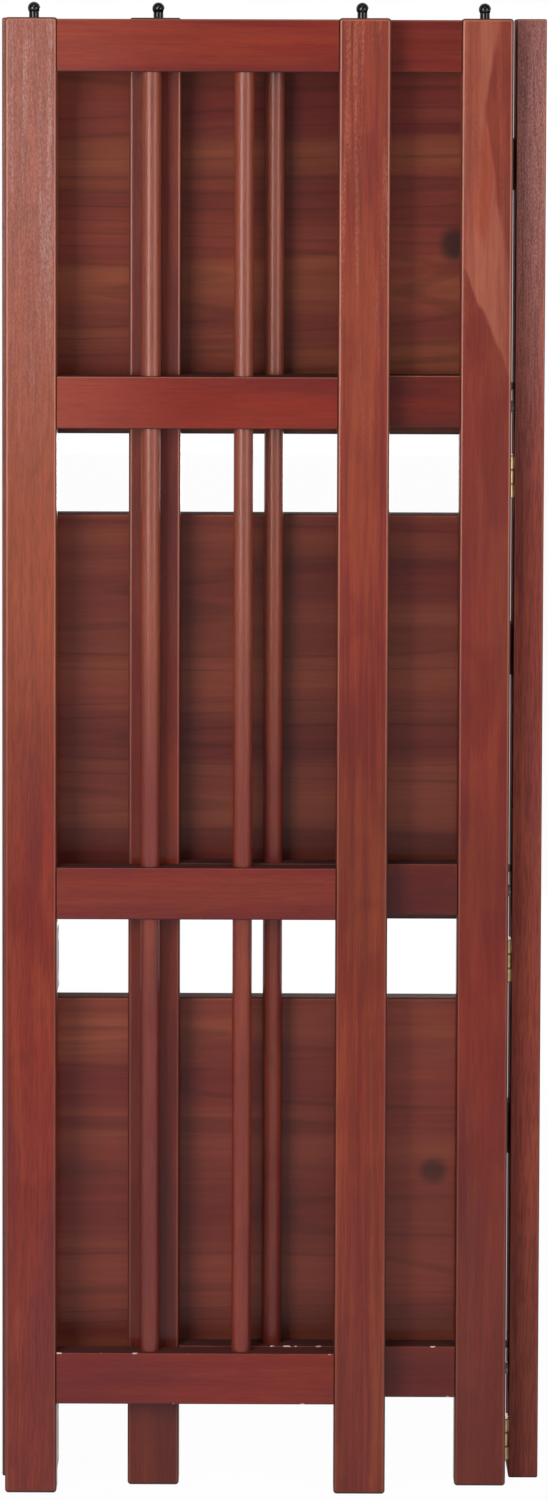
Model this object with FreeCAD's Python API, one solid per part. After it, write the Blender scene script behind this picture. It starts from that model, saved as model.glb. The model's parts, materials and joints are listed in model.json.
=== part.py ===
import FreeCAD, Part
import os

# A folding bookcase, shown folded flat.
#
# The back frame is two deep stiles joined by three rails. A slatted side frame is hinged to each stile:
# the right one folds over the shelves first, and the left one then folds over the right one. Three shelves
# turn on pins between the back stiles and stand upright when the case is folded.
#
# X runs to the right, Y from the front to the back and Z up. The origin is at the middle of the foot print,
# on the floor. Everything is in millimetres.

Vector = FreeCAD.Vector
X_AXIS = Vector(1, 0, 0)
Y_AXIS = Vector(0, 1, 0)
Z_AXIS = Vector(0, 0, 1)

# Overall size
case_height = 965.0  # floor to the tops of the stiles
case_width = 355.0  # over the back stiles

# Back frame
back_stile_width = 19.5
back_stile_depth = 41.8
back_rail_height = 34.0
back_rail_stock = 19.0
first_back_rail = 213.0  # floor to the underside of the lowest back rail

# Side frames
side_width = 249.0  # along the shelf, hinge edge to free edge
side_stock = 18.5  # thickness of the stiles
side_stile_width = 33.8
side_rail_height = 34.0
side_rail_stock = 18.0
first_side_rail = 59.5  # floor to the underside of the lowest rail
top_rail_drop = 1.0  # the top rail sits this far below the stile tops
spindle_diameter = 12.7
spindle_spacing = 60.0
spindle_socket = 10.0  # how far a spindle enters its rail

# Shelves
level_names = ["lower", "middle", "upper"]
shelf_gap = 52.5  # top of a folded shelf to the lower edge of the next one
shelf_top_gap = 4.0  # top of the case to the top of the uppermost folded shelf
shelf_stock = 18.5
shelf_end_gap = 3.0  # shelf end to back stile
shelf_tail = 18.0  # pivot to the rear edge of the shelf
pivot_above_rail = 12.0  # pivot above the underside of the side rail at the same level
shelf_setback = 0.5  # folded shelf behind the front of the back stiles

# Shelf pivots and the pins that stop a shelf when it is level
pivot_diameter = 5.0
pivot_in_stile = 12.0
pivot_in_shelf = 20.0
spacer_diameter = 8.0
spacer_thickness = 2.4
stop_diameter = 6.0
stop_reach = 11.0  # how far a stop stands out of the stile
stop_in_stile = 12.0
stop_from_pivot = 14.8  # behind the pivot
stop_clearance = 0.3

# Hinges
hinge_length = 28.0
hinge_drop = 33.4  # side rail underside down to the hinge centre
barrel_diameter = 4.6
hinge_pin_diameter = 2.2
leaf_thickness = 1.2
leaf_width = 13.5  # from the hinge axis to the edge of the leaf
leaf_screw_x = 8.2  # from the hinge axis to the screws
leaf_screw_spacing = 18.0
knuckle_gap = 0.3
barrel_clearance = 0.3  # barrel to the wood it lies on

# Wooden blocks that carry the left hinges one board further forward
block_width = 17.0
block_height = 44.0
block_on_stile = 24.0  # length of the block that lies against the stile
block_side_clearance = 0.3  # open left side to the block
block_screw_spacing = 26.0
block_screw_inset = 12.0

# Running gaps between the folded layers and behind the open side frames
layer_gap = 2.2
right_rear_gap = 0.3
left_rear_gap = 2.7

# Screws
leaf_screw_diameter = 2.8
leaf_screw_head = 5.0
leaf_screw_length = 12.0
block_screw_diameter = 4.0
block_screw_head = 7.6
block_screw_length = 30.0

# Locating pins on top, and the sockets that take the pins of a case below
ball_diameter = 8.1
neck_diameter = 6.5
pin_height = 10.0
pin_shank_diameter = 6.0
pin_shank_length = 22.0
pin_inset = 18.6  # from either edge of a side frame
socket_diameter = 8.6
socket_depth = 13.0

# Joinery and edges
tenon_length = 10.0
tenon_thickness = 8.0
tenon_shoulder = 5.0  # above and below a tenon
joint_clearance = 0.1
tenon_end_gap = 0.5
side_stile_round = 2.3
back_stile_round = 1.2
rail_round = 1.0
shelf_round = 2.0
block_round = 1.0
fit = 0.05  # radial clearance of a pin or screw in its hole
overrun = 1.0  # how far a cutting shape runs past the face that it opens
parallel = 0.99  # cosine above which an edge counts as lying along an axis

# Worked out from the values above
half_width = case_width / 2
stile_inner_x = half_width - back_stile_width
leaf_face = barrel_diameter / 2 + barrel_clearance  # hinge axis to the wood under a leaf
stack_depth = leaf_face + side_stock + layer_gap + side_stock
stile_front_y = (stack_depth - back_stile_depth) / 2
stile_back_y = stile_front_y + back_stile_depth

right_inner_y = stile_front_y - leaf_face
left_inner_y = right_inner_y - side_stock - layer_gap
right_axis = Vector(stile_inner_x - leaf_face, stile_front_y, 0)
left_axis = Vector(-stile_inner_x - block_side_clearance + leaf_face, left_inner_y + leaf_face, 0)
right_edge_x = right_axis.x - right_rear_gap
left_edge_x = left_axis.x - (stile_front_y - left_axis.y - left_rear_gap)

lowest_shelf_edge = first_side_rail + pivot_above_rail - shelf_tail
shelf_pitch = (case_height - shelf_top_gap - lowest_shelf_edge + shelf_gap) / len(level_names)
shelf_depth = shelf_pitch - shelf_gap
level_floors = [first_side_rail + level * shelf_pitch for level in range(len(level_names))]
rail_floors = level_floors + [case_height - top_rail_drop - side_rail_height]
rail_names = ["bottom_rail", "lower_rail", "upper_rail", "top_rail"]
back_rail_floors = [first_back_rail + level * shelf_pitch for level in range(len(level_names))]
hinge_heights = [floor - hinge_drop for floor in level_floors]
pivot_heights = [floor + pivot_above_rail for floor in level_floors]

shelf_front_y = stile_front_y + shelf_setback
pivot_y = shelf_front_y + shelf_stock / 2
shelf_end_x = stile_inner_x - shelf_end_gap
stop_y = pivot_y + stop_from_pivot
stop_rise = shelf_stock / 2 + stop_diameter / 2 + stop_clearance


def box(x_span, y_span, z_span):
    """A plain block between two values on each axis, in either order."""
    low = [min(span) for span in (x_span, y_span, z_span)]
    high = [max(span) for span in (x_span, y_span, z_span)]
    return Part.makeBox(*[b - a for a, b in zip(low, high)], Vector(*low))


def rod(radius, start, end):
    """A round bar from one point to another."""
    along = end - start
    return Part.makeCylinder(radius, along.Length, start, along)


def cut(shape, tools):
    """The shape with every tool taken out of it."""
    return shape.cut(tools).removeSplitter() if tools else shape


def softened(shape, radius, along=None):
    """The block with its edges rounded: all of them, or those that run along one axis."""
    edges = shape.Edges
    if along is not None:
        edges = [e for e in edges if abs(e.tangentAt(e.FirstParameter).dot(along)) > parallel]
    return shape.makeFillet(radius, edges)


def mortise(x_start, x_end, y_middle, z_span):
    """The pocket for a tenon that runs from x_start to x_end, a little larger all round."""
    reach = tenon_end_gap if x_end > x_start else -tenon_end_gap
    half = tenon_thickness / 2 + joint_clearance
    low = z_span[0] + tenon_shoulder - joint_clearance
    high = z_span[1] - tenon_shoulder + joint_clearance
    return box((x_start, x_end + reach), (y_middle - half, y_middle + half), (low, high))


def tenoned_rail(x_span, y_span, z_span):
    """A rail between two stiles, with a tenon at each end."""
    body = softened(box(x_span, y_span, z_span), rail_round, X_AXIS)
    middle = sum(y_span) / 2
    tenon_x = (min(x_span) - tenon_length, max(x_span) + tenon_length)
    tenon_y = (middle - tenon_thickness / 2, middle + tenon_thickness / 2)
    tenon_z = (z_span[0] + tenon_shoulder, z_span[1] - tenon_shoulder)
    return body.fuse(box(tenon_x, tenon_y, tenon_z)).removeSplitter()


def at_each(shape, places):
    """Copies of a shape, moved to each place."""
    return [shape.translated(place) for place in places]


# ---- hinges, drawn about a vertical axis through the origin -------------------------------------------
# A leaf reaches along +X and lies on wood whose surface is leaf_face in front of the axis, at -Y.


def knuckle_spans(outer):
    """The heights of a leaf's own knuckles: the two outer ones, or the middle one."""
    third = hinge_length / 3
    low = -hinge_length / 2
    if not outer:
        return [(low + third + knuckle_gap / 2, low + 2 * third - knuckle_gap / 2)]
    return [(low, low + third - knuckle_gap / 2), (low + 2 * third + knuckle_gap / 2, low + hinge_length)]


def screw_places():
    """The middles of a leaf's two screws, on its outer face."""
    face = leaf_thickness - leaf_face
    return [Vector(leaf_screw_x, face, side * leaf_screw_spacing / 2) for side in (-1, 1)]


def countersunk_screw(shank, head, length):
    """A flat-headed screw whose head lies in the plane of the origin, pointing along -Y."""
    head_depth = (head - shank) / 2
    cone = Part.makeCone(head / 2, shank / 2, head_depth, Vector(0, 0, 0), -Y_AXIS)
    shaft = rod(shank / 2, Vector(0, 0, 0), Vector(0, -length, 0))
    return cone.fuse(shaft).removeSplitter()


def screw_hole(shank, head, length):
    """The hole that such a screw fits, a little larger all round."""
    return countersunk_screw(shank + 2 * fit, head + 2 * fit, length + 2 * fit)


def hinge_leaf(outer):
    """One leaf of a butt hinge with its knuckles rolled round the pin."""
    half = hinge_length / 2
    plate = box((0, leaf_width), (-leaf_face, leaf_thickness - leaf_face), (-half, half))
    clear_x = barrel_diameter / 2 + barrel_clearance
    clear_y = -leaf_face - overrun
    for low, high in knuckle_spans(not outer):
        plate = plate.cut(box((-overrun, clear_x), (clear_y, 0), (low - knuckle_gap, high + knuckle_gap)))
    for low, high in knuckle_spans(outer):
        plate = plate.fuse(rod(barrel_diameter / 2, Vector(0, 0, low), Vector(0, 0, high)))
    bore_end = Vector(0, 0, half + overrun)
    bore = rod(hinge_pin_diameter / 2 + fit, -bore_end, bore_end)
    holes = at_each(screw_hole(leaf_screw_diameter, leaf_screw_head, leaf_screw_length), screw_places())
    return cut(plate, [bore] + holes)


def hinge_pin():
    """The pin through all the knuckles."""
    half = hinge_length / 2
    return rod(hinge_pin_diameter / 2, Vector(0, 0, -half), Vector(0, 0, half))


def leaf_screws():
    """The screws that hold a leaf to the wood."""
    screw = countersunk_screw(leaf_screw_diameter, leaf_screw_head, leaf_screw_length)
    return at_each(screw, screw_places())


def leaf_pilot_holes():
    """What the leaf's screws take out of the wood."""
    radius = leaf_screw_diameter / 2 + fit
    return [rod(radius, place, place - Y_AXIS * (leaf_screw_length + fit)) for place in screw_places()]


def turned(shapes, axis, angle):
    """Copies of the shapes, turned about an axis through the origin."""
    copies = [shape.copy() for shape in shapes]
    for shape in copies:
        shape.rotate(Vector(0, 0, 0), axis, angle)
    return copies


def hung(shapes, axis_point, height):
    """The shapes moved to a hinge's place."""
    place = Vector(axis_point.x, axis_point.y, height)
    return [shape.translated(place) for shape in shapes]


# How each leaf is turned from the drawing: the axis and the angle.
leaf_turns = {
    "left_frame": (Z_AXIS, 0),
    "left_back": (X_AXIS, 180),
    "right_frame": (Y_AXIS, 180),
    "right_back": (Z_AXIS, 90),
}
hinge_axes = {"left": left_axis, "right": right_axis}


def hinge_items(side, carrier, make):
    """What make() draws, as it lies at each height on one side's frame or back."""
    axis, angle = leaf_turns[side + "_" + carrier]
    drawn = turned(make(), axis, angle)
    return [hung(drawn, hinge_axes[side], height) for height in hinge_heights]


# ---- side frames ---------------------------------------------------------------------------------------


def side_x(side, distance):
    """The X of a point at some distance from a side frame's hinge edge."""
    return left_edge_x + distance if side == "left" else right_edge_x - distance


def side_y(side):
    """The inner and outer faces of a side frame."""
    inner = left_inner_y if side == "left" else right_inner_y
    return inner, inner - side_stock


def side_stile(side, rear):
    """One stile of a side frame, with its mortises, its locating pin's hole, its socket and pilot holes."""
    faces = side_y(side)
    edge, shoulder = (0, side_stile_width) if rear else (side_width, side_width - side_stile_width)
    mortise_end = shoulder - tenon_length if rear else shoulder + tenon_length
    x_span = (side_x(side, edge), side_x(side, shoulder))
    stile = softened(box(x_span, faces, (0, case_height)), side_stile_round)
    middle = sum(faces) / 2
    tools = []
    for floor in rail_floors:
        z_span = (floor, floor + side_rail_height)
        tools.append(mortise(side_x(side, shoulder), side_x(side, mortise_end), middle, z_span))
    pin_x = side_x(side, pin_inset if rear else side_width - pin_inset)
    pin_ends = (case_height - pin_shank_length - fit, case_height + overrun)
    tools.append(rod(pin_shank_diameter / 2 + fit, *[Vector(pin_x, middle, z) for z in pin_ends]))
    tools.append(rod(socket_diameter / 2, *[Vector(pin_x, middle, z) for z in (-overrun, socket_depth)]))
    if rear:
        for holes in hinge_items(side, "frame", leaf_pilot_holes):
            tools += holes
    return cut(stile, tools)


def side_rail(side, floor):
    """One rail of a side frame, without its spindle sockets."""
    inner, outer = side_y(side)
    inset = (side_stock - side_rail_stock) / 2
    x_span = (side_x(side, side_stile_width), side_x(side, side_width - side_stile_width))
    return tenoned_rail(x_span, (outer + inset, inner - inset), (floor, floor + side_rail_height))


def spindle_ends(bay):
    """The heights between which a bay's spindles run."""
    return rail_floors[bay] + side_rail_height - spindle_socket, rail_floors[bay + 1] + spindle_socket


def spindle(side, place, bay, extra):
    """A round spindle, or with a little extra size the sockets that it fits."""
    middle = sum(side_y(side)) / 2
    x = side_x(side, side_width / 2 + place * spindle_spacing / 2)
    radius = spindle_diameter / 2 + extra
    low, high = spindle_ends(bay)
    return rod(radius, Vector(x, middle, low - extra), Vector(x, middle, high + extra))


def side_frame(side):
    """Every piece of one side frame."""
    pieces = {
        side + "_rear_stile": side_stile(side, True),
        side + "_front_stile": side_stile(side, False),
    }
    sockets = []
    for bay, level_name in enumerate(level_names):
        for place, name in ((-1, "rear"), (1, "front")):
            pieces[f"{side}_{name}_spindle_{level_name}"] = spindle(side, place, bay, 0)
            sockets.append(spindle(side, place, bay, fit))
    for floor, name in zip(rail_floors, rail_names):
        pieces[f"{side}_{name}"] = cut(side_rail(side, floor), sockets)
    pieces[side + "_locating_pins"] = Part.makeCompound(locating_pins(side))
    return pieces


def locating_pins(side):
    """The two ball-headed pins on a side frame's stile tops."""
    middle = sum(side_y(side)) / 2
    ball_z = pin_height - ball_diameter / 2
    shank = rod(pin_shank_diameter / 2, Vector(0, 0, -pin_shank_length), Vector(0, 0, ball_z))
    neck = rod(neck_diameter / 2, Vector(0, 0, 0), Vector(0, 0, ball_z))
    ball = Part.makeSphere(ball_diameter / 2, Vector(0, 0, ball_z))
    pin = ball.fuse([neck, shank]).removeSplitter()
    insets = (pin_inset, side_width - pin_inset)
    return at_each(pin, [Vector(side_x(side, inset), middle, case_height) for inset in insets])


# ---- back frame ----------------------------------------------------------------------------------------


def outward(hand, distance):
    """The X of a point that far out from the inner face of a back stile; hand is -1 or 1."""
    return hand * (stile_inner_x + distance)


def back_stile(hand):
    """One back stile, with its mortises and the holes for pivots, stops and screws."""
    x_span = (outward(hand, 0), outward(hand, back_stile_width))
    stile = softened(box(x_span, (stile_front_y, stile_back_y), (0, case_height)), back_stile_round)
    rail_y = stile_back_y - back_rail_stock / 2
    tools = []
    for floor in back_rail_floors:
        z_span = (floor, floor + back_rail_height)
        tools.append(mortise(outward(hand, 0), outward(hand, tenon_length), rail_y, z_span))
    for height in pivot_heights:
        tools.append(pin_hole(hand, pivot_diameter, pivot_y, height, pivot_in_stile))
        tools.append(pin_hole(hand, stop_diameter, stop_y, height + stop_rise, stop_in_stile))
    if hand > 0:
        for holes in hinge_items("right", "back", leaf_pilot_holes):
            tools += holes
    else:
        tools += block_screw_holes(block_screw_length - block_width)
    return cut(stile, tools)


def pin_hole(hand, diameter, y, z, depth):
    """A blind hole in the inner face of a back stile."""
    start = Vector(outward(hand, -overrun), y, z)
    return rod(diameter / 2 + fit, start, Vector(outward(hand, depth + fit), y, z))


def back_rail(floor):
    """One rail of the back frame, flush with the backs of the stiles."""
    y_span = (stile_back_y - back_rail_stock, stile_back_y)
    return tenoned_rail((-stile_inner_x, stile_inner_x), y_span, (floor, floor + back_rail_height))


def block_screw_places(height):
    """The middles of a hinge block's screw heads."""
    x = -stile_inner_x + block_width
    y = stile_front_y + block_screw_inset
    return [Vector(x, y, height + side * block_screw_spacing / 2) for side in (-1, 1)]


def block_screws(height):
    """The screws that hold a hinge block to the left back stile."""
    screw = countersunk_screw(block_screw_diameter, block_screw_head, block_screw_length)
    screw.rotate(Vector(0, 0, 0), Z_AXIS, -90)
    return at_each(screw, block_screw_places(height))


def block_screw_holes(depth):
    """The pilot holes of all the block screws, that deep in the left back stile."""
    radius = block_screw_diameter / 2 + fit
    holes = []
    for height in hinge_heights:
        for place in block_screw_places(height):
            start = Vector(-stile_inner_x + overrun, place.y, place.z)
            holes.append(rod(radius, start, Vector(-stile_inner_x - depth - fit, place.y, place.z)))
    return holes


def hinge_block(level):
    """The block on the left back stile that carries a hinge in front of it."""
    height = hinge_heights[level]
    x_span = (-stile_inner_x, -stile_inner_x + block_width)
    y_span = (left_axis.y + leaf_face, stile_front_y + block_on_stile)
    block = box(x_span, y_span, (height - block_height / 2, height + block_height / 2))
    screw = screw_hole(block_screw_diameter, block_screw_head, block_screw_length)
    screw.rotate(Vector(0, 0, 0), Z_AXIS, -90)
    holes = at_each(screw, block_screw_places(height))
    holes += hinge_items("left", "back", leaf_pilot_holes)[level]
    return cut(softened(block, block_round), holes)


# ---- shelves -------------------------------------------------------------------------------------------


def shelf(height):
    """A shelf standing upright on its pivots, with a hole for a pin in each end."""
    low = height - shelf_tail
    y_span = (shelf_front_y, shelf_front_y + shelf_stock)
    board = softened(box((-shelf_end_x, shelf_end_x), y_span, (low, low + shelf_depth)), shelf_round)
    radius = pivot_diameter / 2 + fit
    holes = []
    for hand in (-1, 1):
        inside = Vector(hand * (shelf_end_x - pivot_in_shelf - fit), pivot_y, height)
        holes.append(rod(radius, inside, Vector(hand * (shelf_end_x + overrun), pivot_y, height)))
    return cut(board, holes)


def pivot_pins(height):
    """The two pins that a shelf turns on."""
    x_span = (shelf_end_x - pivot_in_shelf, stile_inner_x + pivot_in_stile)
    ends = [[Vector(hand * x, pivot_y, height) for x in x_span] for hand in (-1, 1)]
    return [rod(pivot_diameter / 2, start, end) for start, end in ends]


def pivot_spacers(height):
    """The two washers between a shelf's ends and the stiles."""
    start = stile_inner_x - (shelf_end_gap + spacer_thickness) / 2
    spacers = []
    for hand in (-1, 1):
        ends = [Vector(hand * x, pivot_y, height) for x in (start, start + spacer_thickness)]
        spacers.append(rod(spacer_diameter / 2, *ends).cut(rod(pivot_diameter / 2 + fit, *ends)))
    return spacers


def stop_pins(height):
    """The two pins under which a level shelf's rear edge is held."""
    x_span = (stile_inner_x - stop_reach, stile_inner_x + stop_in_stile)
    ends = [[Vector(hand * x, stop_y, height + stop_rise) for x in x_span] for hand in (-1, 1)]
    return [rod(stop_diameter / 2, start, end) for start, end in ends]


# ---- the whole case ------------------------------------------------------------------------------------


def gathered(groups):
    """One compound of all the solids in some lists."""
    return Part.makeCompound([solid for group in groups for solid in group])


def back_frame():
    """The back frame with its shelves and what they turn on."""
    pieces = {"left_back_stile": back_stile(-1), "right_back_stile": back_stile(1)}
    for level, name in enumerate(level_names):
        pieces[name + "_back_rail"] = back_rail(back_rail_floors[level])
        pieces[name + "_shelf"] = shelf(pivot_heights[level])
        pieces[name + "_hinge_block"] = hinge_block(level)
    pieces["shelf_pivot_pins"] = gathered(pivot_pins(height) for height in pivot_heights)
    pieces["shelf_pivot_spacers"] = gathered(pivot_spacers(height) for height in pivot_heights)
    pieces["shelf_stop_pins"] = gathered(stop_pins(height) for height in pivot_heights)
    pieces["hinge_block_screws"] = gathered(block_screws(height) for height in hinge_heights)
    return pieces


def hinges(side):
    """The leaves, pins and screws of one side's three hinges."""
    pieces = {}
    for carrier, outer in (("frame", False), ("back", True)):
        leaves = hinge_items(side, carrier, lambda: [hinge_leaf(outer)])
        for name, leaf in zip(level_names, leaves):
            pieces[f"{side}_{name}_{carrier}_leaf"] = leaf[0]
        pieces[f"{side}_{carrier}_leaf_screws"] = gathered(hinge_items(side, carrier, leaf_screws))
    pieces[side + "_hinge_pins"] = gathered(hinge_items(side, "frame", lambda: [hinge_pin()]))
    return pieces


def whole_case():
    """Every piece by its name."""
    pieces = back_frame()
    for side in ("left", "right"):
        pieces.update(side_frame(side))
        pieces.update(hinges(side))
    return pieces


os.makedirs("parts", exist_ok=True)
for node, shape in whole_case().items():
    shape.exportStep(f"parts/{node}.step")
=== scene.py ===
import bpy
import json
import math
from mathutils import Matrix, Vector


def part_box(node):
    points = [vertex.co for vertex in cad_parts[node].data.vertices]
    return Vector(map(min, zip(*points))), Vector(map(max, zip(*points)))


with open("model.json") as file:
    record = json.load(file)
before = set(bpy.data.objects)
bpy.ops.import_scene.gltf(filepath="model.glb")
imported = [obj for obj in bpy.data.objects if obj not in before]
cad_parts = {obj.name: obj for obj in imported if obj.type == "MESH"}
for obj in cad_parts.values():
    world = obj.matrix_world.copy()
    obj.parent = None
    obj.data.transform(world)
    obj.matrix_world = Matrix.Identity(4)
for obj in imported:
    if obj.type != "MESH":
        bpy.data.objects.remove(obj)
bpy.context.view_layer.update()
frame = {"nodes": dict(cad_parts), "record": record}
nodes = frame["nodes"]
print("frame loaded:", len(nodes), "nodes")


# Where the camera stands and how it is turned, in metres and degrees, and its lens in millimetres
cameraView = {
    "place": (0.0, -3.392, 0.936),
    "down": 3.78,
    "turn": 0.153,
    "roll": -0.171,
    "lens": 124.68,
    "sensor": 36.0,
    "shift": (0.00973, -0.22927),
    "farthest": 60.0,
}


def makeCamera(view):
    data = bpy.data.cameras.new("camera")
    data.sensor_fit = "AUTO"
    data.sensor_width = view["sensor"]
    data.lens = view["lens"]
    data.shift_x, data.shift_y = view["shift"]
    data.clip_end = view["farthest"]
    camera = bpy.data.objects.new("camera", data)
    bpy.context.scene.collection.objects.link(camera)
    turned = Matrix.Rotation(math.radians(view["turn"]), 4, "Z")
    tilted = Matrix.Rotation(math.radians(90.0 - view["down"]), 4, "X")
    rolled = Matrix.Rotation(math.radians(-view["roll"]), 4, "Z")
    camera.matrix_world = Matrix.Translation(view["place"]) @ turned @ tilted @ rolled
    bpy.context.scene.camera = camera


makeCamera(cameraView)
print("camera placed")


# Nodes and maths for the materials: a link where a socket is given, otherwise a plain value
def addNode(tree, kind, inputs=None, **settings):
    node = tree.nodes.new(kind)
    for name, value in settings.items():
        setattr(node, name, value)
    for name, value in (inputs or {}).items():
        giveValue(tree, node.inputs[name], value)
    return node


def giveValue(tree, socket, value):
    if isinstance(value, bpy.types.NodeSocket):
        tree.links.new(value, socket)
    elif socket.type == "RGBA" and len(value) == 3:
        socket.default_value = (*value, 1.0)
    else:
        socket.default_value = value


def mathNode(tree, operation, *values, clamp=False):
    node = addNode(tree, "ShaderNodeMath", operation=operation, use_clamp=clamp)
    for index, value in enumerate(values):
        giveValue(tree, node.inputs[index], value)
    return node.outputs[0]


def product(tree, first, *others):
    for value in others:
        first = mathNode(tree, "MULTIPLY", first, value)
    return first


def squaredDistance(tree, values, middles, halfSizes):
    # Sum of ((value - middle) / half size) squared, which is one on the rim
    squares = []
    for value, middle, half in zip(values, middles, halfSizes):
        offset = mathNode(tree, "DIVIDE", mathNode(tree, "SUBTRACT", value, middle), half)
        squares.append(mathNode(tree, "MULTIPLY", offset, offset))
    return mathNode(tree, "ADD", *squares)


def spread(tree, value, fromMin, fromMax, toMin=0.0, toMax=1.0):
    # A soft step: toMin up to fromMin, toMax from fromMax on
    given = {"Value": value, "From Min": fromMin, "From Max": fromMax, "To Min": toMin, "To Max": toMax}
    return addNode(tree, "ShaderNodeMapRange", given, interpolation_type="SMOOTHSTEP").outputs["Result"]


def mixColours(tree, share, first, second, blend="MIX"):
    node = addNode(tree, "ShaderNodeMix", data_type="RGBA", blend_type=blend)
    for index, value in ((0, share), (6, first), (7, second)):
        giveValue(tree, node.inputs[index], value)
    return node.outputs[2]


def darken(tree, colour, tone):
    grey = addNode(tree, "ShaderNodeCombineColor", {"Red": tone, "Green": tone, "Blue": tone}).outputs[0]
    return mixColours(tree, 1.0, colour, grey, "MULTIPLY")


def newMaterial(name):
    material = bpy.data.materials.new(name)
    material.use_nodes = True
    tree = material.node_tree
    tree.nodes.clear()
    output = addNode(tree, "ShaderNodeOutputMaterial")
    shader = addNode(tree, "ShaderNodeBsdfPrincipled")
    tree.links.new(shader.outputs[0], output.inputs["Surface"])
    return material, tree, shader


# Stained and varnished wood. Colours are linear, and heights are in metres. A pattern is cycles per metre
# across the grain and along it, detail and distortion. Limits are where a soft step begins and ends.
frameWood = {
    # Stain: wide blotches of wine in red, then streaks of orange, fine streaks of it, and clouds
    "wine": (0.116, 0.010, 0.010),
    "red": (0.190, 0.017, 0.009),
    "orange": (0.250, 0.042, 0.012),
    "blotches": (26.0, 3.5, 2.0, 0.4),
    "blotchLimits": (0.36, 0.64),
    "lessWine": 0.0,
    "streaks": (70.0, 4.0, 3.0, 0.5),
    "streakLimits": (0.40, 0.72),
    "streakShare": 0.62,
    "fineStreaks": (300.0, 8.0, 2.0, 0.3),
    "fineLimits": (0.46, 0.64),
    "fineShare": 0.10,
    "fineToneLimits": (0.36, 0.62),
    "fineTone": 0.030,
    "fineStrength": 1.0,
    "clouds": (30.0, 15.0, 2.0, 0.6),
    "cloudLimits": (0.44, 0.64),
    "cloudColour": (0.138, 0.008, 0.004),
    "cloudShare": 0.55,
    "cloudStrength": 1.0,

    # Tints: warmer higher up, dull all over, duller low down with the painted shade there, and paler towards
    # the left end
    "warmColour": (0.300, 0.070, 0.026),
    "warmHeights": (0.40, 0.60),
    "warmShare": 0.0,
    "dullColour": (0.190, 0.066, 0.052),
    "dullShare": 0.0,
    "lowShadeHeights": (0.04, 0.34),
    "lowShadeDull": 0.16,
    "paleEndColour": (0.310, 0.066, 0.044),
    "paleEndPlaces": (-0.045, -0.135),
    "paleEndShare": 0.0,
    "slantSheenShare": 0.0,

    # Painted sheen near the top: a pale glare in streaks and speckles
    "sheenColour": (0.42, 0.240, 0.220),
    "sheenHeights": (0.62, 0.88),
    "sheenStreaks": (170.0, 6.0, 2.0, 0.0),
    "sheenLimits": (0.47, 0.64),
    "sheenEven": 1.0,
    "sheenShare": 0.0,
    "speckles": (1500.0, 480.0, 2.0, 0.0),
    "speckleLimits": (0.40, 0.62),
    "speckleRise": 0.8,
    "speckleDepth": 0.5,

    # Depth of the stain: the whole piece (lower on the right frame as painted shade), fibre, pores, a deeper
    # stretch (its middle, reach and tone), and painted shade low down
    "tone": 1.0,
    "fibre": (520.0, 16.0, 3.0, 0.0),
    "fibreLimits": (0.25, 0.75),
    "fibreDepth": 0.07,
    "pores": (1150.0, 75.0, 1.0, 0.0),
    "poreLimits": (0.40, 0.55),
    "poreDepth": 0.10,
    "poreStrength": 1.0,
    "deeper": None,
    "lowShade": None,

    # Edges, told by the normal: its largest part, and how far it points down, sideways or up
    "round": False,  # a round bar has no edges to wear
    "edgeLimits": (0.996, 0.965),
    "underLimits": (-0.30, -0.05),
    "sideLimits": (0.88, 0.68),
    "upperLimits": (0.80, 0.97),
    # Rubbed edges carry a painted highlight, stronger higher up
    "wornHighlightColour": (0.50, 0.18, 0.11),
    "wornHighlightShare": (0.12, 0.42),
    "wornHighlightHeights": (0.25, 0.75),
    # Painted shade on the rounded sides and undersides of the edges
    "edgeShadeColour": (0.030, 0.006, 0.006),
    "edgeShadeShare": 0.80,
    # Painted shade on the upper faces
    "upperShadeColour": (0.040, 0.011, 0.010),
    "upperShadeShare": 0.75,
    # Painted glints: small pale marks along the edges of the bottom rails
    "edgeGlints": False,
    "glintColour": (0.55, 0.40, 0.33),
    "glintCloseness": 120.0,
    "glintLimits": (0.64, 0.67),

    # Gloss and relief
    "roughness": 0.36,
    "endRoughness": 0.62,
    "endLimits": (0.85, 0.97),
    "anisotropy": 0.7,
    "specular": 0.19,
    "coat": 0.18,
    "coatRoughness": 0.14,
    "bump": 0.00005,
    "fibreHeight": 0.6,
    "poreHeight": 0.5,
}
shelfWood = dict(frameWood, **{
    "wine": (0.120, 0.016, 0.013),
    "red": (0.165, 0.031, 0.019),
    "orange": (0.220, 0.057, 0.026),
    "blotches": (14.0, 2.0, 2.0, 0.4),
    "streaks": (34.0, 1.6, 3.0, 0.5),
    "streakShare": 0.9,
    "fineStreaks": (120.0, 3.0, 2.0, 0.3),
    "fineShare": 0.08,
    "fineTone": 0.035,
    "cloudShare": 0.0,
    "fibre": (300.0, 6.0, 3.0, 0.0),
    "pores": (900.0, 30.0, 1.0, 0.0),
    "poreDepth": 0.06,
    "wornHighlightShare": (0.2, 0.2),
    "specular": 0.2,
    "coat": 0.12,

    # Painted shade along the foot and in the middle, soft bands along the board, and thin growth rings in them
    "footShadeReach": 0.110,
    "footShadeTone": 0.61,
    # Painted shade: darker in the middle, between the spindles, lighter towards the ends
    "middleShadePlaces": (0.030, 0.105),
    "middleShadeTones": (0.91, 1.14),
    "bands": (17.0, 0.9, 1.0, 0.2),
    "bandLimits": (0.3, 0.7),
    "bandDepth": 0.12,
    "ringWaves": 62.0,
    "ringLimits": (0.80, 1.0),
    "ringDepth": 0.20,
})

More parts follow.
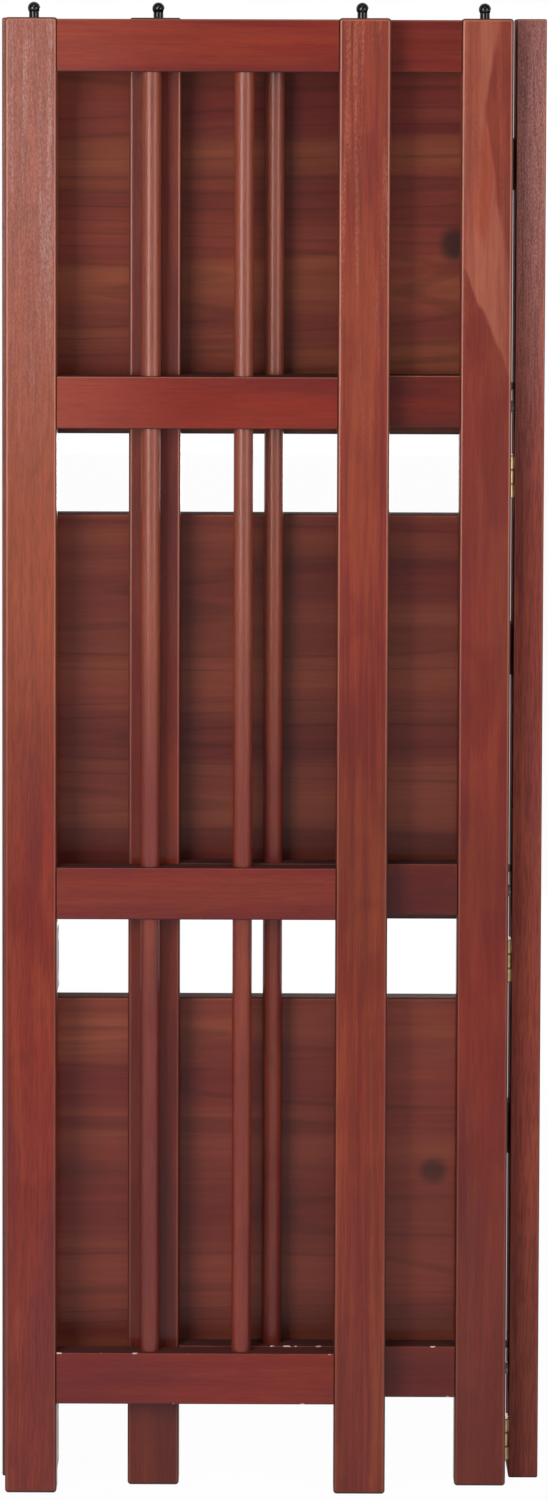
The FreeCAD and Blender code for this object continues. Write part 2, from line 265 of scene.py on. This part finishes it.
# What sets kinds of pieces and single pieces apart from their wood
railWood = {"fineStrength": 0.5, "cloudStrength": 0.6, "streakShare": 0.30, "dullShare": 0.05}
leftSpindleWood = {
    "tone": 0.90,
    "warmShare": 0.5,
    "dullShare": 0.15,
    "cloudStrength": 1.2,
    "round": True,
    "specular": 0.30,
    "coat": 0.16,
    "roughness": 0.32,
    "bump": 0.00010,
}
# The right spindles stand behind the left ones: their lower tone is painted shade
rightSpindleWood = dict(leftSpindleWood, tone=0.74, specular=0.26)
backStileWood = {
    "tone": 1.09,
    "lowShade": 0.82,
    "poreStrength": 2.5,
    "dullShare": 0.42,
    "sheenShare": 0.32,
    "coat": 0.0,
    "specular": 0.10,
    "roughness": 0.70,
}
# A warmer pale for the painted sheen
warmSheen = (0.50, 0.155, 0.085)
pieceWoods = {
    "left_rear_stile": {
        "tone": 0.91,
        "lowShade": 1.05,
        "poreStrength": 1.8,
        "warmShare": 0.6,
        "sheenShare": 0.49,
        "sheenEven": 0.44,
    },
    "left_front_stile": {
        "tone": 0.82,
        "deeper": (0.43, 0.17, 0.76),
        "lowShade": 0.88,
        "lessWine": 0.20,
        "streakShare": 0.85,
        "fineStrength": 3.4,
        "cloudStrength": 0.7,
        "sheenColour": warmSheen,
        "sheenShare": 0.30,
        "sheenEven": 0.08,
        "speckleDepth": 0.6,
    },
    "right_rear_stile": {
        "tone": 0.82,
        "deeper": (0.41, 0.08, 0.80),
        "lowShade": 0.80,
        "lessWine": 0.06,
        "streakShare": 0.52,
        "fineStrength": 0.6,
        "cloudStrength": 0.95,
        "slantSheenShare": 0.72,
        "sheenColour": warmSheen,
        "sheenShare": 0.10,
        "sheenEven": 0.0,
        "speckleDepth": 0.6,
    },
    # Painted shade: the right frame stands behind the left one, so its front stile has a lower tone
    "right_front_stile": {"tone": 0.72, "lowShade": 0.80},
    "right_back_stile": backStileWood,
    "left_back_stile": backStileWood,
    "left_bottom_rail": {"edgeGlints": True},
    "left_upper_rail": {"tone": 0.94, "paleEndShare": 0.50},
    "left_top_rail": {"paleEndShare": 0.35},
    # Painted shade: the right frame's rails stand behind the left frame, so their tones are lower
    "right_bottom_rail": {"tone": 0.68, "edgeGlints": True},
    "right_lower_rail": {"tone": 0.57},
    "right_upper_rail": {"tone": 0.59},
    "right_top_rail": {"tone": 0.86},
    "upper_shelf": {"tone": 0.94},
    "middle_shelf": {"tone": 0.82, "streakShare": 0.5},
    "lower_shelf": {"tone": 1.04},
}

# Each piece's pattern is moved by its number times this, and turned so that its grain runs along Z
grainSteps = (0.31, -0.17, 0.73)
grainTurns = {"Z": (0.0, 0.0, 0.0), "X": (0.0, math.pi / 2, 0.0)}
noiseRoughness = 0.55


def grainPlace(tree, texture, grain, seed):
    shift = [step * seed for step in grainSteps]
    moved = addNode(tree, "ShaderNodeMapping", {"Vector": texture.outputs["Object"], "Location": shift})
    turned = addNode(tree, "ShaderNodeMapping", {"Vector": moved.outputs[0], "Rotation": grainTurns[grain]})
    return turned.outputs[0]


def grainNoise(tree, place, pattern):
    across, along, detail, distortion = pattern
    scaled = addNode(tree, "ShaderNodeMapping", {"Vector": place, "Scale": (across, across, along)})
    given = {"Vector": scaled.outputs[0], "Scale": 1.0, "Detail": detail, "Roughness": noiseRoughness,
             "Distortion": distortion}
    return addNode(tree, "ShaderNodeTexNoise", given).outputs["Fac"]


def stainColour(tree, place, fineStreaks, wood):
    # Wide blotches choose between wine and red, streaks choose orange, and clouds lie over both
    begins, ends = wood["blotchLimits"]
    blotches = grainNoise(tree, place, wood["blotches"])
    blotches = spread(tree, blotches, begins - wood["lessWine"], ends - wood["lessWine"])
    colour = mixColours(tree, blotches, wood["wine"], wood["red"])
    streaks = grainNoise(tree, place, wood["streaks"])
    streaks = spread(tree, streaks, *wood["streakLimits"], 0.0, wood["streakShare"])
    colour = mixColours(tree, streaks, colour, wood["orange"])
    fine = spread(tree, fineStreaks, *wood["fineLimits"], 0.0, wood["fineShare"] * wood["fineStrength"])
    colour = mixColours(tree, fine, colour, wood["orange"])
    if wood["cloudShare"]:
        clouds = spread(tree, grainNoise(tree, place, wood["clouds"]), *wood["cloudLimits"])
        clouds = product(tree, clouds, wood["cloudShare"] * wood["cloudStrength"])
        colour = mixColours(tree, clouds, colour, wood["cloudColour"])
    return colour


def tintColour(tree, colour, xyz, wood):
    if wood["warmShare"]:
        warmth = spread(tree, xyz["Z"], *wood["warmHeights"], 0.0, wood["warmShare"])
        colour = mixColours(tree, warmth, colour, wood["warmColour"])
    if wood["dullShare"]:
        colour = mixColours(tree, wood["dullShare"], colour, wood["dullColour"])
    # Painted shade low down: the colour turns duller there
    if wood["lowShade"]:
        low = spread(tree, xyz["Z"], *wood["lowShadeHeights"], wood["lowShadeDull"], 0.0)
        colour = mixColours(tree, low, colour, wood["dullColour"])
    if wood["paleEndShare"]:
        end = spread(tree, xyz["X"], *wood["paleEndPlaces"], 0.0, wood["paleEndShare"])
        colour = mixColours(tree, end, colour, wood["paleEndColour"])
    return colour


def addSheen(tree, colour, place, xyz, wood):
    # Painted sheen: a pale glare in fine streaks and in the pores, more of it towards the top
    rise = spread(tree, xyz["Z"], *wood["sheenHeights"])
    streaks = grainNoise(tree, place, wood["sheenStreaks"])
    streaks = spread(tree, streaks, *wood["sheenLimits"], wood["sheenEven"], 1.0)
    depth = wood["speckleDepth"]
    speckles = grainNoise(tree, place, wood["speckles"])
    speckles = spread(tree, speckles, *wood["speckleLimits"], 1.0 - depth, 1.0 + depth * wood["speckleRise"])
    sheen = product(tree, rise, streaks, speckles)
    sheen = mathNode(tree, "MULTIPLY", sheen, wood["sheenShare"], clamp=True)
    return mixColours(tree, sheen, colour, wood["sheenColour"])


def stainAndShadeTone(tree, xyz, fineStreaks, fibre, pores, wood):
    # How deep the stain is, with painted shade low down: above one paler, below one deeper
    fibreTone = spread(tree, fibre, *wood["fibreLimits"], 1.0 - wood["fibreDepth"], 1.0 + wood["fibreDepth"])
    poreTone = mathNode(tree, "MULTIPLY_ADD", pores, -wood["poreDepth"] * wood["poreStrength"], 1.0)
    depth = wood["fineTone"] * wood["fineStrength"]
    fineTone = spread(tree, fineStreaks, *wood["fineToneLimits"], 1.0 - depth, 1.0 + depth)
    tone = product(tree, fibreTone, poreTone, fineTone, wood["tone"])
    if wood["deeper"]:
        middle, reach, least = wood["deeper"]
        away = mathNode(tree, "ABSOLUTE", mathNode(tree, "SUBTRACT", xyz["Z"], middle))
        tone = product(tree, tone, spread(tree, away, 0.0, reach, least, 1.0))
    # Painted shade: darker low down
    if wood["lowShade"]:
        tone = product(tree, tone, spread(tree, xyz["Z"], *wood["lowShadeHeights"], wood["lowShade"], 1.0))
    return tone


def shelfTone(tree, place, xyz, wood):
    # Painted shade along the foot and in the middle; deeper in soft bands, and in thin rings where a wave of
    # the bands peaks
    footShade = spread(tree, xyz["Z"], wood["lowest"], wood["lowest"] + wood["footShadeReach"], wood["footShadeTone"], 1.0)
    ends = spread(tree, mathNode(tree, "ABSOLUTE", xyz["X"]), *wood["middleShadePlaces"], *wood["middleShadeTones"])
    bands = grainNoise(tree, place, wood["bands"])
    soft = spread(tree, bands, *wood["bandLimits"], 1.0 - wood["bandDepth"], 1.0 + wood["bandDepth"])
    wave = mathNode(tree, "SINE", product(tree, bands, wood["ringWaves"]))
    rings = spread(tree, wave, *wood["ringLimits"], 1.0, 1.0 - wood["ringDepth"])
    return product(tree, footShade, ends, soft, rings)


# Painted reflection: a pale slanting sheen on the upper part of one stile, between wavering edges.
# Across is a share of the stile's width, and heights are in metres.
slantSheen = {
    "colour": (0.38, 0.105, 0.058),
    "lowestLeft": 0.807,
    "leftSlope": 11.8,
    "narrowest": 0.910,
    "rightStart": 0.50,
    "rightSlope": 4.1,
    "softness": 0.08,
    "waver": (60.0, 12.0, 2.0, 0.0),
    "waverDepth": 0.45,
    "streaks": (120.0, 5.0, 2.0, 0.0),
    "streakLimits": (0.38, 0.62),
    "fainter": 0.35,
    "tongue": {
        "colour": (0.30, 0.045, 0.016),
        "middle": (0.45, 0.858),
        "size": (0.20, 0.040),
        "rim": (1.1, 0.5),
    },
}


def addSlantSheen(tree, colour, xyz, place, share, sheenPatch):
    # The painted reflection lies between two slanting edges: left of one and right of the other the stain is
    # plain
    low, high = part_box("right_rear_stile")
    across = mathNode(tree, "DIVIDE", mathNode(tree, "SUBTRACT", xyz["X"], low[0]), high[0] - low[0])
    waver = mathNode(tree, "SUBTRACT", grainNoise(tree, place, sheenPatch["waver"]), 0.5)
    across = mathNode(tree, "MULTIPLY_ADD", waver, sheenPatch["waverDepth"], across)
    left = product(tree, mathNode(tree, "SUBTRACT", sheenPatch["lowestLeft"], xyz["Z"]), sheenPatch["leftSlope"])
    away = mathNode(tree, "ABSOLUTE", mathNode(tree, "SUBTRACT", xyz["Z"], sheenPatch["narrowest"]))
    right = mathNode(tree, "MULTIPLY_ADD", away, sheenPatch["rightSlope"], sheenPatch["rightStart"])
    inLeft = spread(tree, mathNode(tree, "SUBTRACT", across, left), 0.0, sheenPatch["softness"])
    inRight = spread(tree, mathNode(tree, "SUBTRACT", right, across), 0.0, sheenPatch["softness"])
    streaks = grainNoise(tree, place, sheenPatch["streaks"])
    streaks = spread(tree, streaks, *sheenPatch["streakLimits"], sheenPatch["fainter"] * share, share)
    colour = mixColours(tree, product(tree, inLeft, inRight, streaks), colour, sheenPatch["colour"])

    tongue = sheenPatch["tongue"]
    distance = squaredDistance(tree, (across, xyz["Z"]), tongue["middle"], tongue["size"])
    inTongue = spread(tree, distance, *tongue["rim"], 0.0, share)
    return mixColours(tree, inTongue, colour, tongue["colour"])


# Knots, each with its place and half size along X and Z: dark inside the rim, which is soft
knots = {
    "upper_shelf": {"place": (0.118, 0.818), "size": (0.0105, 0.0135), "depth": 0.85},
    "lower_shelf": {"place": (0.107, 0.206), "size": (0.0108, 0.0096), "depth": 0.68},
}
knotColour = (0.022, 0.009, 0.009)
knotRim = (1.2, 0.4)


def addKnot(tree, colour, xyz, knot):
    distance = squaredDistance(tree, (xyz["X"], xyz["Z"]), knot["place"], knot["size"])
    inside = spread(tree, mathNode(tree, "SQRT", distance), *knotRim, 0.0, knot["depth"])
    return mixColours(tree, inside, colour, knotColour)


def edgeWearAndLight(tree, colour, texture, xyz, normal, grain, wood):
    # On a rounded edge no part of the normal is close to one. There the stain is rubbed thin in front, with a
    # painted highlight on it; painted shade darkens the side and underneath, and painted glints may mark the
    # edge.
    sizes = [mathNode(tree, "ABSOLUTE", part) for part in normal]
    largest = mathNode(tree, "MAXIMUM", mathNode(tree, "MAXIMUM", sizes[0], sizes[1]), sizes[2])
    edge = spread(tree, largest, *wood["edgeLimits"])
    above = spread(tree, normal["Z"], *wood["underLimits"])
    wornHighlight = spread(tree, xyz["Z"], *wood["wornHighlightHeights"], *wood["wornHighlightShare"])
    colour = mixColours(tree, product(tree, edge, wornHighlight, above), colour, wood["wornHighlightColour"])
    # Painted shade towards the side and underneath
    sideways = spread(tree, sizes[1], *wood["sideLimits"])
    edgeShade = mathNode(tree, "MAXIMUM", sideways, mathNode(tree, "SUBTRACT", 1.0, above))
    edgeShade = product(tree, edgeShade, edge, wood["edgeShadeShare"])
    colour = mixColours(tree, edgeShade, colour, wood["edgeShadeColour"])
    if grain == "X":
        # Painted shade on the upper faces of the rails and shelves, which catch little light
        upper = spread(tree, normal["Z"], *wood["upperLimits"], 0.0, wood["upperShadeShare"])
        colour = mixColours(tree, upper, colour, wood["upperShadeColour"])
    # Painted glints on the edges
    if wood["edgeGlints"]:
        given = {"Vector": texture.outputs["Object"], "Scale": wood["glintCloseness"]}
        glintNoise = addNode(tree, "ShaderNodeTexNoise", given).outputs["Fac"]
        glints = product(tree, edge, spread(tree, glintNoise, *wood["glintLimits"]))
        colour = mixColours(tree, glints, colour, wood["glintColour"])
    return colour


def woodMaterial(name, wood, grain, seed, knot):
    material, tree, shader = newMaterial(name)
    texture = addNode(tree, "ShaderNodeTexCoord")
    xyz = addNode(tree, "ShaderNodeSeparateXYZ", {"Vector": texture.outputs["Object"]}).outputs
    normal = addNode(tree, "ShaderNodeSeparateXYZ", {"Vector": texture.outputs["Normal"]}).outputs
    place = grainPlace(tree, texture, grain, seed)
    fineStreaks = grainNoise(tree, place, wood["fineStreaks"])
    fibre = grainNoise(tree, place, wood["fibre"])
    pores = spread(tree, grainNoise(tree, place, wood["pores"]), *wood["poreLimits"], 1.0, 0.0)

    colour = stainColour(tree, place, fineStreaks, wood)
    colour = tintColour(tree, colour, xyz, wood)
    # A painted reflection on one stile
    if wood["slantSheenShare"]:
        colour = addSlantSheen(tree, colour, xyz, place, wood["slantSheenShare"], slantSheen)
    # Painted sheen near the top
    if wood["sheenShare"]:
        colour = addSheen(tree, colour, place, xyz, wood)
    tone = stainAndShadeTone(tree, xyz, fineStreaks, fibre, pores, wood)
    if "lowest" in wood:
        tone = product(tree, tone, shelfTone(tree, place, xyz, wood))
    colour = darken(tree, colour, tone)
    if knot:
        colour = addKnot(tree, colour, xyz, knot)
    if not wood["round"]:
        colour = edgeWearAndLight(tree, colour, texture, xyz, normal, grain, wood)
    tree.links.new(colour, shader.inputs["Base Color"])

    raised = product(tree, fibre, wood["fibreHeight"])
    height = mathNode(tree, "SUBTRACT", raised, product(tree, pores, wood["poreHeight"]))
    bump = addNode(tree, "ShaderNodeBump", {"Height": height, "Distance": wood["bump"], "Strength": 1.0})
    tree.links.new(bump.outputs[0], shader.inputs["Normal"])
    tangent = addNode(tree, "ShaderNodeTangent", direction_type="RADIAL", axis=grain)
    tree.links.new(tangent.outputs[0], shader.inputs["Tangent"])
    # End grain and the upper faces, where dust settles, are dull
    level = spread(tree, mathNode(tree, "ABSOLUTE", normal["Z"]), *wood["endLimits"])
    roughness = spread(tree, level, 0.0, 1.0, wood["roughness"], wood["endRoughness"])
    tree.links.new(roughness, shader.inputs["Roughness"])
    tree.links.new(spread(tree, level, 0.0, 1.0, wood["coat"], 0.0), shader.inputs["Coat Weight"])
    shader.inputs["Anisotropic"].default_value = wood["anisotropy"]
    shader.inputs["Specular IOR Level"].default_value = wood["specular"]
    shader.inputs["Coat Roughness"].default_value = wood["coatRoughness"]
    return material


# Metals with a slightly uneven polish: cycles per metre, and the range of the tone and of the roughness
metals = {
    "brass": {"colour": (0.42, 0.29, 0.145), "roughness": 0.34, "uneven": 400.0},
    "steel": {"colour": (0.30, 0.28, 0.26), "roughness": 0.40, "uneven": 407.0},
}
polish = {"detail": 3.0, "limits": (0.3, 0.7), "tones": (0.75, 1.1), "roughness": (0.8, 1.2)}

# Tarnish on a hinge's barrel where its knuckles meet. The seam limits are shares of a knuckle from its middle,
# and the barrel's are metres from the pin.
tarnish = {
    "colour": (0.070, 0.042, 0.024),
    "share": 0.92,
    "knuckles": 3.0,
    "seam": (0.37, 0.48),
    "barrelReach": (0.0031, 0.0026),
}


def addTarnish(tree, colour, texture, leaf):
    low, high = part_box(leaf)
    pinLow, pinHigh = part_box(leaf.split("_")[0] + "_hinge_pins")
    axis = [(pinLow[side] + pinHigh[side]) / 2 for side in range(2)]
    xyz = addNode(tree, "ShaderNodeSeparateXYZ", {"Vector": texture.outputs["Object"]}).outputs
    distance = mathNode(tree, "SQRT", squaredDistance(tree, (xyz["X"], xyz["Y"]), axis, (1.0, 1.0)))
    onBarrel = spread(tree, distance, *tarnish["barrelReach"])
    knuckle = (high[2] - low[2]) / tarnish["knuckles"]
    along = mathNode(tree, "DIVIDE", mathNode(tree, "SUBTRACT", xyz["Z"], low[2]), knuckle)
    along = mathNode(tree, "FRACT", along)
    seam = spread(tree, mathNode(tree, "ABSOLUTE", mathNode(tree, "SUBTRACT", along, 0.5)), *tarnish["seam"])
    return mixColours(tree, product(tree, onBarrel, seam, tarnish["share"]), colour, tarnish["colour"])


def metalMaterial(name, metal, leaf=None):
    material, tree, shader = newMaterial(name)
    texture = addNode(tree, "ShaderNodeTexCoord")
    given = {"Vector": texture.outputs["Object"], "Scale": metal["uneven"], "Detail": polish["detail"]}
    noise = addNode(tree, "ShaderNodeTexNoise", given).outputs["Fac"]
    colour = darken(tree, metal["colour"], spread(tree, noise, *polish["limits"], *polish["tones"]))
    if leaf:
        colour = addTarnish(tree, colour, texture, leaf)
    tree.links.new(colour, shader.inputs["Base Color"])
    least, most = (metal["roughness"] * factor for factor in polish["roughness"])
    tree.links.new(spread(tree, noise, *polish["limits"], least, most), shader.inputs["Roughness"])
    shader.inputs["Metallic"].default_value = 1.0
    return material


# Black lacquer of the ball pins, with a faint orange peel
ballPins = {
    "colours": ((0.002, 0.002, 0.002), (0.006, 0.006, 0.006)),
    "peel": 650.0,
    "detail": 1.0,
    "bump": 0.00008,
    "roughness": 0.045,
    "specular": 0.35,
}


def pinMaterial(look):
    material, tree, shader = newMaterial("blackPin")
    texture = addNode(tree, "ShaderNodeTexCoord")
    given = {"Vector": texture.outputs["Object"], "Scale": look["peel"], "Detail": look["detail"]}
    noise = addNode(tree, "ShaderNodeTexNoise", given).outputs["Fac"]
    tree.links.new(mixColours(tree, noise, *look["colours"]), shader.inputs["Base Color"])
    bump = addNode(tree, "ShaderNodeBump", {"Height": noise, "Distance": look["bump"], "Strength": 1.0})
    tree.links.new(bump.outputs[0], shader.inputs["Normal"])
    shader.inputs["Roughness"].default_value = look["roughness"]
    shader.inputs["Specular IOR Level"].default_value = look["specular"]
    return material


def woodOf(name):
    # A piece's own wood, and the way that its grain runs
    own = pieceWoods.get(name, {})
    if name.endswith("_shelf"):
        return dict(shelfWood, **own, lowest=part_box(name)[0][2]), "X"
    if name.endswith("_rail"):
        return {**frameWood, **railWood, **own}, "X"
    if "spindle" in name:
        own = leftSpindleWood if name.startswith("left_") else rightSpindleWood
    return dict(frameWood, **own), "Z"


def dress():
    fixed = {name: metalMaterial(name, metal) for name, metal in metals.items()}
    fixed["black_pin"] = pinMaterial(ballPins)
    slots = {entry["node"]: entry["material_slot"] for entry in frame["record"]["subparts"]}
    for seed, (name, piece) in enumerate(sorted(nodes.items())):
        slot = slots[name]
        if slot.endswith("_wood"):
            wood, grain = woodOf(name)
            finish = woodMaterial(slot + "." + name, wood, grain, seed, knots.get(name))
        elif name.endswith("_leaf"):
            finish = metalMaterial(slot + "." + name, metals[slot], name)
        else:
            finish = fixed[slot]
        piece.data.materials.clear()
        piece.data.materials.append(finish)


dress()
print("materials made")


# Soft boxes in metres and watts, and a room that is dim in front and white behind
studio = {
    "floorReach": 9.0,
    "floorColour": (0.86, 0.86, 0.86, 1.0),
    "floorWhite": 0.972,
    "roomLight": 0.21,
    "backdropLimits": (0.0, 0.3),
}
lights = {
    "leftBox": {"place": (-1.00, -1.70, 0.95), "aim": (0.0, 0.0, 0.65), "size": (0.80, 1.10), "power": 28.0},
    "rightBox": {"place": (1.60, -1.70, 0.95), "aim": (0.0, 0.0, 0.65), "size": (1.0, 1.2), "power": 21.0},
    "glintBox": {"place": (-0.55, -1.60, 1.70), "aim": (0.0, 0.0, 0.8), "size": (0.10, 0.10), "power": 3.0},
    "topBox": {"place": (0.0, -1.5, 2.6), "aim": (0.0, 0.0, 0.6), "size": (1.8, 1.0), "power": 6.0},
    "backBox": {"place": (0.9, 2.2, 0.50), "aim": (0.0, 0.0, 0.5), "size": (1.8, 0.8), "power": 40.0},
}
white = (1.0, 1.0, 1.0, 1.0)


def makeLight(name, light):
    data = bpy.data.lights.new(name, "AREA")
    data.shape = "RECTANGLE"
    data.size, data.size_y = light["size"]
    data.energy = light["power"]
    lamp = bpy.data.objects.new(name, data)
    bpy.context.scene.collection.objects.link(lamp)
    lamp.location = light["place"]
    lamp.rotation_euler = (Vector(light["aim"]) - Vector(light["place"])).to_track_quat("-Z", "Y").to_euler()


def makeFloor():
    # Mostly plain white to the eye, to a gloss and through a glass, with a share left for the object's shadow
    reach = studio["floorReach"]
    corners = [(-reach, -reach, 0.0), (reach, -reach, 0.0), (reach, reach, 0.0), (-reach, reach, 0.0)]
    mesh = bpy.data.meshes.new("floor")
    mesh.from_pydata(corners, [], [(0, 1, 2, 3)])
    piece = bpy.data.objects.new("floor", mesh)
    bpy.context.scene.collection.objects.link(piece)
    material = bpy.data.materials.new("floor")
    material.use_nodes = True
    tree = material.node_tree
    tree.nodes.clear()
    path = addNode(tree, "ShaderNodeLightPath").outputs
    seen = mathNode(tree, "MAXIMUM", path["Is Camera Ray"], path["Is Transmission Ray"])
    seen = mathNode(tree, "MAXIMUM", seen, path["Is Glossy Ray"])
    paint = addNode(tree, "ShaderNodeBsdfDiffuse", {"Color": studio["floorColour"]})
    glow = addNode(tree, "ShaderNodeEmission", {"Color": white, "Strength": 1.0})
    share = product(tree, seen, studio["floorWhite"])
    mixed = addNode(tree, "ShaderNodeMixShader", {0: share, 1: paint.outputs[0], 2: glow.outputs[0]})
    output = addNode(tree, "ShaderNodeOutputMaterial")
    tree.links.new(mixed.outputs[0], output.inputs["Surface"])
    mesh.materials.append(material)


def makeRoom():
    # The backdrop is white to the eye, and a gloss shows it where it faces back; the rest is the dim room
    world = bpy.data.worlds.new("room")
    bpy.context.scene.world = world
    world.use_nodes = True
    tree = world.node_tree
    tree.nodes.clear()
    path = addNode(tree, "ShaderNodeLightPath").outputs
    texture = addNode(tree, "ShaderNodeTexCoord")
    way = addNode(tree, "ShaderNodeSeparateXYZ", {"Vector": texture.outputs["Generated"]}).outputs
    behind = product(tree, path["Is Glossy Ray"], spread(tree, way["Y"], *studio["backdropLimits"]))
    seen = mathNode(tree, "MAXIMUM", path["Is Camera Ray"], path["Is Transmission Ray"])
    seen = mathNode(tree, "MAXIMUM", seen, behind)
    strength = mathNode(tree, "MULTIPLY_ADD", seen, 1.0 - studio["roomLight"], studio["roomLight"])
    background = addNode(tree, "ShaderNodeBackground", {"Color": white, "Strength": strength})
    output = addNode(tree, "ShaderNodeOutputWorld")
    tree.links.new(background.outputs[0], output.inputs["Surface"])


makeFloor()
makeRoom()
for lightName, light in lights.items():
    makeLight(lightName, light)
bpy.context.scene.view_settings.view_transform = "Standard"
print("studio lit")
